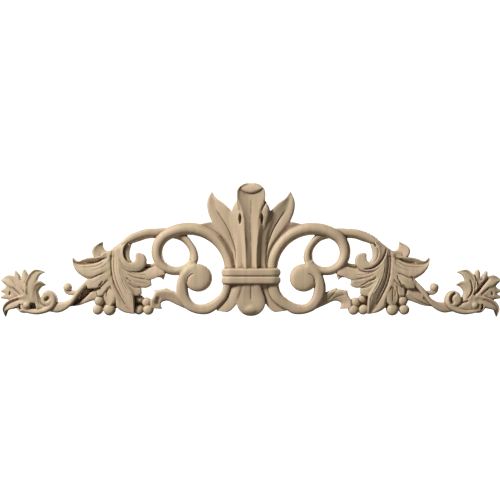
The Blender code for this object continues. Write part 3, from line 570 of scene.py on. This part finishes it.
class Carver:
    """Makes the rough forms, each on its sides, and keeps them until they are joined."""

    def __init__(self):
        self.forms = bpy.data.collections.new("forms")
        self.cuts = bpy.data.collections.new("cuts")
        for collection in (self.forms, self.cuts):
            bpy.context.scene.collection.children.link(collection)

    def keep(self, bm, name, sides, collection):
        for side in sides:
            copy = bm.copy()
            if side < 0:
                bmesh.ops.scale(copy, vec=(-1, 1, 1), verts=copy.verts)
            bmesh.ops.recalc_face_normals(copy, faces=copy.faces)
            model(name, copy, collection)
        bm.free()

    def close_below(self, bm, depth):
        """Draws a copy of the carved face back to depth, with walls between the two."""
        bmesh.ops.remove_doubles(bm, verts=bm.verts, dist=MERGE)
        back = bmesh.ops.extrude_face_region(bm, geom=bm.faces, use_keep_orig=True)
        for vert in back["geom"]:
            if isinstance(vert, bmesh.types.BMVert):
                vert.co.y = depth

    def grow(self, bm, name, sides):
        """Draws a carved face back past the back face. No two undersides lie in one plane."""
        order = len(self.forms.objects) % UNDERSIDES / UNDERSIDES
        self.close_below(bm, SAW_ALLOWANCE * (1 + order))
        self.keep(bm, name, sides, self.forms)

    def sheet(self, name, left, right, section, rise, sides=BOTH, ending=None):
        """A form between two edges, each a list of points, with a gouge section across it that can
        change to its ending. rise is its height at even places along it, in hundredths of the board."""
        rows, columns = len(left) - 1, len(section) - 1
        rise = [height / 100 for height in rise]
        bm = bmesh.new()
        bmesh.ops.create_grid(bm, x_segments=columns, y_segments=rows, size=0.5)
        for vert in bm.verts:
            row = round((vert.co.y + 0.5) * rows)
            column = round((vert.co.x + 0.5) * columns)
            across, share = Vector(section[column]).lerp(Vector((ending or section)[column]), row / rows)
            place = left[row].lerp(right[row], across)
            height = BOARD * blend(rise, row / rows) * share
            vert.co = (place.x * MODULE, -height, place.y * MODULE)
        self.grow(bm, name, sides)

    def leaf(self, name, left, right, rise, section=SOFT, ending=None, sides=BOTH, columns=14):
        """A leaf or lobe between two edges, as in the tables."""
        left = drawn(left)
        right = drawn(right) if right else [(-x, z) for x, z in left]
        longer = max(curve_length(left), curve_length(right))
        rows = max(LEAST_ROWS, math.ceil(longer / STROKE))
        edges = even_curve(left, rows), even_curve(right, rows)
        ending = ending and gouge(ending, columns)
        self.sheet(name, *edges, gouge(section, columns), rise, sides, ending)

    def leaves(self, *tables):
        for table in tables:
            for row in table:
                self.leaf(*row)

    def bar(self, name, line, widths, rise):
        """A scroll bar along a line of (point, heading), with its width at even places along it."""
        left, right = [], []
        for step, (place, angle) in enumerate(line):
            half = blend(widths, step / (len(line) - 1)) / 2
            across = Vector((-math.sin(angle), math.cos(angle)))
            left.append(place + across * half)
            right.append(place - across * half)
        self.sheet(name, left, right, half_round(BAR_BASE), rise)

    def bands(self):
        """Two half-round mouldings round the sheaf, with a quirk between them."""
        for name, middle, half in BANDS:
            top, bottom = [], []
            for step in range(BAND_STEPS + 1):
                x = BAND_HALF * (2 * step / BAND_STEPS - 1)
                share = min(1.0, (BAND_HALF - abs(x)) / BAND_ROUNDING)
                bulge = half * (BAND_END + (1 - BAND_END) * math.sqrt(1 - (1 - share) ** 2))
                top.append(Vector((x, middle + bulge)))
                bottom.append(Vector((x, middle - bulge)))
            self.sheet(name, top, bottom, shares(MOULDING), BAND_RISE, DRAWN)

    def ball(self, name, x, z, radius, height, depth=1.0, fullness=1.0):
        """A berry or boss: the front half of a ball, on a straight wall. Its middle is x to the left
        of the middle line and z up, and its front is at height, in hundredths of the board. depth
        under 1 flattens it from front to back, and fullness over 1 flattens its crown."""
        bm = bmesh.new()
        bmesh.ops.create_uvsphere(bm, u_segments=48, v_segments=24, radius=radius * MODULE)
        bmesh.ops.rotate(bm, matrix=Matrix.Rotation(math.radians(90), 3, "X"), verts=bm.verts)
        bmesh.ops.delete(bm, geom=[vert for vert in bm.verts if vert.co.y > MERGE], context="VERTS")
        for vert in bm.verts:
            away = Vector((vert.co.x, vert.co.z)).length / (radius * MODULE)
            vert.co.y = -radius * MODULE * crown(away, fullness)
        bmesh.ops.scale(bm, vec=(1, depth, 1), verts=bm.verts)
        place = (-x * MODULE, radius * depth * MODULE - height / 100 * BOARD, z * MODULE)
        bmesh.ops.translate(bm, vec=place, verts=bm.verts)
        self.grow(bm, name, BOTH)

    def hole(self, name, left, right, floor, sides):
        """A drilled slot between two edges, down to its floor."""
        edges = even_curve(drawn(left), SLOT_STEPS), even_curve(drawn(right), SLOT_STEPS)
        bm = bmesh.new()
        bmesh.ops.create_grid(bm, x_segments=1, y_segments=SLOT_STEPS, size=0.5)
        for vert in bm.verts:
            place = edges[round(vert.co.x + 0.5)][round((vert.co.y + 0.5) * SLOT_STEPS)]
            vert.co = (place.x * MODULE, -DRILL_START, place.y * MODULE)
        self.close_below(bm, -floor)
        self.keep(bm, name, sides, self.cuts)

    def saw_slab(self):
        """Everything behind the back face, to be sawn off."""
        thick = 4 * SAW_ALLOWANCE
        self.keep(block((1.2 * WIDTH, thick, WIDTH), (0, thick / 2, 0)), "slab_behind", DRAWN, self.cuts)


def carve_forms():
    """Cuts every rough form. Their order gives each underside its depth."""
    carver = Carver()
    x, z = BIG_START
    carver.bar("big_scroll", arc_line((-x, z), 90, BIG_ARCS), BIG_WIDTHS, BIG_RISE)
    carver.leaves(SCROLLS)
    carver.ball("boss", 52.6, -0.8, 13.9, 66, depth=0.6, fullness=2)
    carver.leaves(SHEAF, TIPS, DROP)
    carver.bands()
    carver.leaves(ACANTHUS)
    for k, berry in enumerate(BERRIES):
        carver.ball(f"berry_{k + 1}", *berry, fullness=BERRY_FULLNESS)
    carver.leaves(BERRY_BEDS, INNER_TENDRIL, STEM)
    carver.ball("bead", 183.1, -10.3, 4.3, 44)
    carver.leaves(VOLUTE)
    carver.ball("volute_eye", 203, -22, 6.6, 47.5, depth=0.3, fullness=2)
    carver.leaves(SPRAY)
    carver.ball("bud", 223.4, -27.8, 4.3, 52)
    carver.leaves(BUD_LEAF)
    for eye in EYES:
        carver.hole(*eye)
    carver.saw_slab()
    return carver


def collar_core():
    """The block that the sheaf and the scrolls grow from, behind the collar's mouldings."""
    size = (2 * CORE_HALF * MODULE, CORE_DEPTH + SAW_ALLOWANCE, (CORE_TOP - CORE_BOTTOM) * MODULE)
    middle = (0, (SAW_ALLOWANCE - CORE_DEPTH) / 2, (CORE_TOP + CORE_BOTTOM) / 2 * MODULE)
    return model("applique", block(size, middle), bpy.context.scene.collection)


def settle(obj):
    """Takes the object's modifiers up into its mesh."""
    graph = bpy.context.evaluated_depsgraph_get()
    mesh = bpy.data.meshes.new_from_object(obj.evaluated_get(graph), depsgraph=graph)
    obj.modifiers.clear()
    obj.data = mesh


def grow_together(applique, carver, grain):
    """Joins the forms into one body, cuts its back flat and its eyes, and fills it as fine voxels."""
    for name, operation, collection in (("join forms", "UNION", carver.forms),
                                        ("cut back and eyes", "DIFFERENCE", carver.cuts)):
        boolean = applique.modifiers.new(name, "BOOLEAN")
        boolean.operation = operation
        boolean.operand_type = "COLLECTION"
        boolean.collection = collection
        boolean.solver = "MANIFOLD"
    remesh = applique.modifiers.new("fill", "REMESH")
    remesh.mode = "VOXEL"
    remesh.voxel_size = grain
    settle(applique)
    for collection in (carver.forms, carver.cuts):
        for obj in list(collection.objects):
            bpy.data.objects.remove(obj)
        bpy.data.collections.remove(collection)


class Relief:
    """The carving's points as arrays, to be worked over like a carver's last passes."""

    def __init__(self, obj):
        self.mesh = obj.data
        self.points = self.read(self.mesh.vertices, "co", 3)
        self.joined = self.read(self.mesh.edges, "vertices", 2, int)
        self.count = np.bincount(self.joined.ravel(), minlength=len(self.points))
        self.on_back = self.points[:, 1] > -BACK_ZONE

    def read(self, items, name, size, kind=float):
        values = np.empty(len(items) * size, np.int32 if kind is int else np.float32)
        items.foreach_get(name, values)
        return values.reshape(-1, size).astype(kind)

    def write(self):
        self.mesh.vertices.foreach_set("co", self.points.astype(np.float32).ravel())
        self.mesh.update()

    def around(self, points):
        """The mean of each point's neighbours."""
        total = np.empty_like(points)
        first, second = self.joined.T
        for axis in range(3):
            total[:, axis] = np.bincount(first, points[second, axis], len(points))
            total[:, axis] += np.bincount(second, points[first, axis], len(points))
        return total / self.count[:, None]

    def softened(self, points, passes, share=RUB):
        points = points.copy()
        for _ in range(passes):
            step = (self.around(points) - points) * share
            step[self.on_back, 1] = 0
            points += step
        return points

    def soften(self, passes):
        """Rubs the surface down, each time with a push back out, so that it doesn't shrink."""
        for _ in range(passes):
            self.points = self.softened(self.points, 1)
            self.points = self.softened(self.points, 1, PUSH_BACK)

    def normals(self):
        self.write()
        return self.read(self.mesh.vertices, "normal", 3)

    def near(self, line, width, sides):
        """For each side, the points in front within half of width from a line on the drawing grid, how
        close they are to it (1 on it, 0 at the edge), and how far along it."""
        steps = max(LEAST_STEPS, round(curve_length(line) / FINE_STEP))
        path = np.array([tuple(place) for place in even_curve(line, steps)])
        path *= MODULE
        half = width * MODULE / 2
        flat = self.points[:, (0, 2)]
        for side in sides:
            way = path * (side, 1)
            low, high = way.min(0) - half, way.max(0) + half
            near = np.nonzero(self.facing & (flat > low).all(1) & (flat < high).all(1))[0]
            for some in np.array_split(near, len(near) // NEAR_AT_ONCE + 1):
                away = np.linalg.norm(flat[some][:, None] - way[None], axis=2)
                yield some, np.clip(1 - away.min(1) / half, 0, 1), away.argmin(1) / (len(way) - 1)

    def cut(self, rounded, width, depth, *line, sides=BOTH):
        """A stroke of the round gouge or the V tool, width and depth in modules. Its depth dies away
        at both ends, unless it is so short that it is a dent."""
        line = drawn(line)
        dent = curve_length(line) < 2 * width
        for some, close, along in self.near(line, width, sides):
            shape = np.sin(close * math.pi / 2) ** 2 if rounded else close
            dying = 1.0 if dent else np.clip(np.minimum(along, 1 - along) / LEAD, 0, 1) ** LEAD_CURVE
            deeper = self.points[some, 1] + shape * dying * depth * MODULE
            self.points[some, 1] = np.minimum(deeper, -BACK_ZONE)

    def blend(self):
        """Rubs the surface down where one form runs into the next."""
        weight = np.zeros(len(self.points))
        for width, *line in BLENDS:
            for some, close, _ in self.near(drawn(line), width, BOTH):
                weight[some] = np.maximum(weight[some], np.minimum(1, close * 2))
        self.points = self.softened(self.points, BLEND_PASSES, RUB * weight[:, None])

    def mark_folds(self):
        """Says how folded in (to 1) or out (to -1) each point is, in the mesh's own fold attribute. The
        material paints shade into the folds and a highlight onto the edges from it.
        """
        out = self.normals()
        fold = np.zeros(len(self.points))
        for passes, reach, weight in FOLDS:
            gap = ((self.softened(self.points, passes) - self.points) * out).sum(1) * 1000 / reach
            fold += weight * np.clip(gap, -1, 1)
        fold[self.on_back] = 0
        attribute = self.mesh.attributes.new("fold", "FLOAT", "POINT")
        attribute.data.foreach_set("value", fold.astype(np.float32))


def carve_relief(obj, softness):
    relief = Relief(obj)
    relief.soften(softness)
    relief.facing = relief.normals()[:, 1] < FACING
    relief.blend()
    for stroke in HOLLOWS:
        relief.cut(True, *stroke)
    for stroke in SINGLE_STROKES:
        relief.cut(*stroke, sides=DRAWN)
    for stroke in VEINS:
        relief.cut(False, *stroke)
    relief.soften(1)
    relief.mark_folds()
    relief.write()


def thin_out(obj, triangles):
    """Fewer triangles where the surface is flat, none of them outside the CAD's board, and a crisp
    back edge."""
    decimate = obj.modifiers.new("thin out", "DECIMATE")
    decimate.ratio = triangles / (2 * len(obj.data.polygons))
    settle(obj)
    bm = bmesh.new()
    bm.from_mesh(obj.data)
    for vert in bm.verts:
        if vert.co.y > -BACK_ZONE:
            vert.co.y = HIGH.y
        for axis in range(3):
            vert.co[axis] = min(max(vert.co[axis], LOW[axis]), HIGH[axis])
    bm.normal_update()
    for face in bm.faces:
        face.smooth = True
    for edge in bm.edges:
        backs = [face.normal.y > BACK_FACING for face in edge.link_faces]
        if any(backs) and not all(backs):
            edge.smooth = False
    bm.to_mesh(obj.data)
    bm.free()


class Finish:
    """A material and the nodes that make its pattern."""

    def __init__(self, name):
        self.material = bpy.data.materials.new(name)
        self.material.use_nodes = True
        self.tree = self.material.node_tree
        self.shader = self.tree.nodes["Principled BSDF"]

    def node(self, kind, settings, *in_order, out=0, **by_name):
        """A node of a kind with its settings, and then values or links for its sockets."""
        node = self.tree.nodes.new("ShaderNode" + kind)
        for name, value in settings.items():
            setattr(node, name, value)
        for socket, value in zip(node.inputs, in_order):
            self.join(value, socket)
        for name, value in by_name.items():
            self.join(value, node.inputs[name])
        return node.outputs[out]

    def join(self, value, socket):
        if isinstance(value, bpy.types.NodeSocket):
            self.tree.links.new(value, socket)
        else:
            socket.default_value = value

    def set(self, name, value):
        self.join(value, self.shader.inputs[name])

    def noise(self, place, spread, detail, roughness=0.5, distortion=0.0):
        """Noise from 0 to 1, with spread marks or so to the metre along X, Y and Z."""
        stretched = self.node("Mapping", {}, Vector=place, Scale=spread)
        return self.node("TexNoise", {}, Vector=stretched, Scale=1.0, Detail=detail, Roughness=roughness,
                         Distortion=distortion)

    def mix(self, factor, first, second):
        """A colour between two."""
        mixed = self.node("Mix", {"data_type": "RGBA"}, out=2)
        for k, value in ((0, factor), (6, first), (7, second)):
            self.join(value, mixed.node.inputs[k])
        return mixed

    def total(self, *parts):
        """The sum of (value, weight) pairs."""
        found = 0.0
        for value, weight in parts:
            found = self.node("Math", {"operation": "MULTIPLY_ADD"}, value, weight, found)
        return found

    def ramp(self, factor, low, high):
        """factor from low to high, as 0 to 1."""
        settings = {"clamp": True, "interpolation_type": "SMOOTHSTEP"}
        return self.node("MapRange", settings, factor, low, high, 0.0, 1.0)


def bare_wood(settings):
    """Pale, close-grained wood, cut and sanded but not varnished, with painted shade darkening its folds
    and a painted highlight lightening its edges.
    """
    finish = Finish("bare_wood")
    place = finish.node("TexCoord", {}, out=3)
    by_name = {"attribute_type": "GEOMETRY", "attribute_name": "fold"}
    fold = finish.node("Attribute", by_name, out=2)
    fibre = finish.noise(place, (900, 600, 26), 4, 0.6)
    streak = finish.noise(place, (170, 120, 7), 3, 0.55, distortion=0.4)
    patch = finish.noise(place, (22, 22, 9), 2)
    grain = finish.ramp(streak, 0.36, 0.66)
    tone = finish.total((grain, 0.5), (finish.ramp(fibre, 0.35, 0.7), 0.22), (patch, 0.34))
    hue = finish.ramp(finish.noise(place, (70, 70, 40), 3, 0.6), 0.38, 0.62)
    pale = finish.mix(hue, (*settings.pale_wood, 1.0), (*settings.green_wood, 1.0))
    wood = finish.mix(tone, pale, (*settings.warm_wood, 1.0))
    # Painted shade: the folds are darkened towards a dark brown, more the deeper they fold in.
    fold_shade_mask = finish.ramp(fold, 0.0, 0.6)
    # Painted highlight: the edges that fold out are lightened, as though they caught the light.
    edge_highlight_mask = finish.ramp(finish.total((fold, -1.0)), 0.10, 0.80)
    wood = finish.mix(finish.total((edge_highlight_mask, 0.25)), wood, (*settings.painted_edge_highlight, 1.0))
    # Here the painted shade goes into the folds, over everything else.
    wood = finish.mix(finish.total((fold_shade_mask, settings.fold_shade_strength)), wood, (*settings.painted_fold_shade, 1.0))
    finish.set("Base Color", wood)
    rough = finish.ramp(fibre, 0.2, 0.8)
    finish.set("Roughness", finish.total((rough, 0.14), (settings.roughness, 1.0)))
    finish.set("Specular IOR Level", 0.35)
    height = finish.total((fibre, 0.5), (streak, 0.5))
    bump = finish.node("Bump", {}, Strength=0.35, Distance=0.00025, Height=height)
    finish.set("Normal", bump)
    finish.material.diffuse_color = (*settings.pale_wood, 1.0)
    return finish.material


def plain(name, tint, glow):
    finish = Finish(name)
    finish.set("Base Color", (*tint, 1.0))
    finish.set("Roughness", 0.9)
    finish.set("Emission Color", (*tint, 1.0))
    finish.set("Emission Strength", glow)
    return finish.material


def stage_piece(name, bm, material):
    """A piece of the stage. The camera sees it, but it throws no light on the carving."""
    bmesh.ops.translate(bm, vec=(0, 0, FLOOR_LEVEL), verts=bm.verts)
    bmesh.ops.recalc_face_normals(bm, faces=bm.faces)
    piece = model(name, bm, bpy.context.scene.collection)
    piece.data.materials.append(material)
    piece.visible_diffuse = False
    piece.visible_glossy = False
    return piece


def floor(settings):
    bm = bmesh.new()
    bmesh.ops.create_circle(bm, cap_ends=True, segments=STAGE_STEPS, radius=STAGE_RADIUS)
    stage_piece("floor", bm, plain("floor", settings.floor_colour, FLOOR_GLOW))


def backdrop():
    """A white wall all round, that is lit evenly by itself and lights nothing."""
    bm = bmesh.new()
    bmesh.ops.create_circle(bm, segments=STAGE_STEPS, radius=STAGE_RADIUS)
    wall = bmesh.ops.extrude_edge_only(bm, edges=bm.edges)
    top = [part for part in wall["geom"] if isinstance(part, bmesh.types.BMVert)]
    bmesh.ops.translate(bm, vec=(0, 0, WALL_HEIGHT), verts=top)
    wall = stage_piece("backdrop", bm, plain("backdrop", (1.0, 1.0, 1.0), 1.0))
    wall.visible_shadow = False


def soft_light(name, aim, strength):
    place, size, tint = LIGHTS[name]
    light = bpy.data.lights.new(name, "AREA")
    light.size = size
    light.energy = strength
    light.color = tint
    lamp = bpy.data.objects.new(name, light)
    lamp.location = place
    lamp.rotation_euler = (Vector(aim) - Vector(place)).to_track_quat("-Z", "Y").to_euler()
    bpy.context.scene.collection.objects.link(lamp)


def colour(name, description, default):
    return FloatVectorProperty(
        name=name, description=description, default=default, min=0, max=1, subtype="COLOR")


def power(name, description, default):
    return FloatProperty(name=name, description=description, default=default, min=0, unit="POWER")


class CarvingSettings(bpy.types.PropertyGroup):
    voxel: FloatProperty(
        name="Fineness", description="Size of the voxels that the relief is cut in",
        default=0.0006, min=0.0003, max=0.003, precision=5, unit="LENGTH")
    softness: IntProperty(
        name="Softness", description="How many times the cut forms are rubbed down",
        default=3, min=0, max=30)
    triangles: IntProperty(
        name="Triangles", description="How many triangles the finished carving has",
        default=190000, min=20000, max=199000)
    pale_wood: colour("Pale wood", "Colour of the early wood", (0.63, 0.475, 0.345))
    green_wood: colour("Sap wood", "Colour of the greener patches", (0.58, 0.49, 0.31))
    warm_wood: colour("Warm wood", "Colour of the darker streaks", (0.50, 0.37, 0.245))
    # The colour of the painted highlight on the edges that fold out.
    painted_edge_highlight: colour("Edges", "Colour of the edges that catch the light", (0.70, 0.58, 0.44))
    # The painted shade in the folds: its dark colour, and how strongly it is painted in.
    painted_fold_shade: colour("Folds", "Colour deep in the cuts", (0.19, 0.105, 0.05))
    fold_shade_strength: FloatProperty(
        name="Fold shading", description="How much darker the cuts are",
        default=0.8, min=0, max=1, subtype="FACTOR")
    roughness: FloatProperty(
        name="Roughness", description="Roughness of the bare wood",
        default=0.52, min=0, max=1, subtype="FACTOR")


class StageSettings(bpy.types.PropertyGroup):
    lens: FloatProperty(
        name="Lens", description="Focal length of the camera",
        default=120.0, min=20, max=400, unit="CAMERA")
    key_power: power("Key light", "Power of the light from the upper left", 128.0)
    bounce_power: power("Bounce light", "Power of the light thrown up from below", 2.0)
    back_power: power("Back light", "Power of the light on the back", 40.0)
    room_light: FloatProperty(
        name="Room light", description="Strength of the light from all around", default=0.04, min=0)
    floor_colour: colour("Floor", "Colour of the floor", (0.86, 0.85, 0.83))


class APPLIQUE_OT_carve(bpy.types.Operator):
    """Carve the applique in bare pale wood, in place of the CAD's plain one"""

    bl_idname = "applique.carve"
    bl_label = "Carve Applique"

    def execute(self, context):
        settings = context.scene.applique_carving
        carver = carve_forms()
        applique = collar_core()
        grow_together(applique, carver, settings.voxel)
        if len(applique.data.polygons) < LEAST_FACES:
            raise RuntimeError("the forms didn't grow together")
        carve_relief(applique, settings.softness)
        thin_out(applique, settings.triangles)
        applique.data.materials.clear()
        applique.data.materials.append(bare_wood(settings))
        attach(applique, "root")
        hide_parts(NODE)
        return {"FINISHED"}


class APPLIQUE_OT_stage(bpy.types.Operator):
    """Set out the floor, the backdrop, the lights and the camera"""

    bl_idname = "applique.stage"
    bl_label = "Set Stage"

    def execute(self, context):
        settings = context.scene.applique_stage
        floor(settings)
        backdrop()
        middle = (VIEW_MIDDLE[0] * MODULE, 0, VIEW_MIDDLE[1] * MODULE)
        soft_light("key", middle, settings.key_power)
        soft_light("bounce", middle, settings.bounce_power)
        soft_light("back", middle, settings.back_power)
        world = bpy.data.worlds.new("room")
        world.use_nodes = True
        background = world.node_tree.nodes["Background"]
        background.inputs["Color"].default_value = ROOM_COLOUR
        background.inputs["Strength"].default_value = settings.room_light
        context.scene.world = world
        context.scene.view_settings.view_transform = "Standard"
        lens = bpy.data.cameras.new("camera")
        lens.lens = settings.lens
        lens.clip_end = 4 * STAGE_RADIUS
        camera = bpy.data.objects.new("camera", lens)
        away = WIDTH * settings.lens / lens.sensor_width
        camera.location = (middle[0], -away - VIEW_DEPTH, middle[2])
        camera.rotation_euler = (math.radians(90), 0, 0)
        context.scene.collection.objects.link(camera)
        context.scene.camera = camera
        return {"FINISHED"}


class APPLIQUE_PT_panel(bpy.types.Panel):
    """The sizes and colours of the carving and its stage"""

    bl_label = "Carved Wood Applique"
    bl_idname = "APPLIQUE_PT_panel"
    bl_space_type = "VIEW_3D"
    bl_region_type = "UI"
    bl_category = "Applique"

    def draw(self, context):
        for settings, operator in ((context.scene.applique_carving, APPLIQUE_OT_carve),
                                   (context.scene.applique_stage, APPLIQUE_OT_stage)):
            box = self.layout.box()
            for name in settings.__annotations__:
                box.prop(settings, name)
            box.operator(operator.bl_idname)


CLASSES = (CarvingSettings, StageSettings, APPLIQUE_OT_carve, APPLIQUE_OT_stage, APPLIQUE_PT_panel)


def register():
    for cls in CLASSES:
        bpy.utils.register_class(cls)
    bpy.types.Scene.applique_carving = PointerProperty(type=CarvingSettings)
    bpy.types.Scene.applique_stage = PointerProperty(type=StageSettings)


def unregister():
    del bpy.types.Scene.applique_stage
    del bpy.types.Scene.applique_carving
    for cls in reversed(CLASSES):
        bpy.utils.unregister_class(cls)


def main():
    register()
    bpy.ops.applique.carve()
    bpy.ops.applique.stage()


if __name__ == "__main__":
    main()
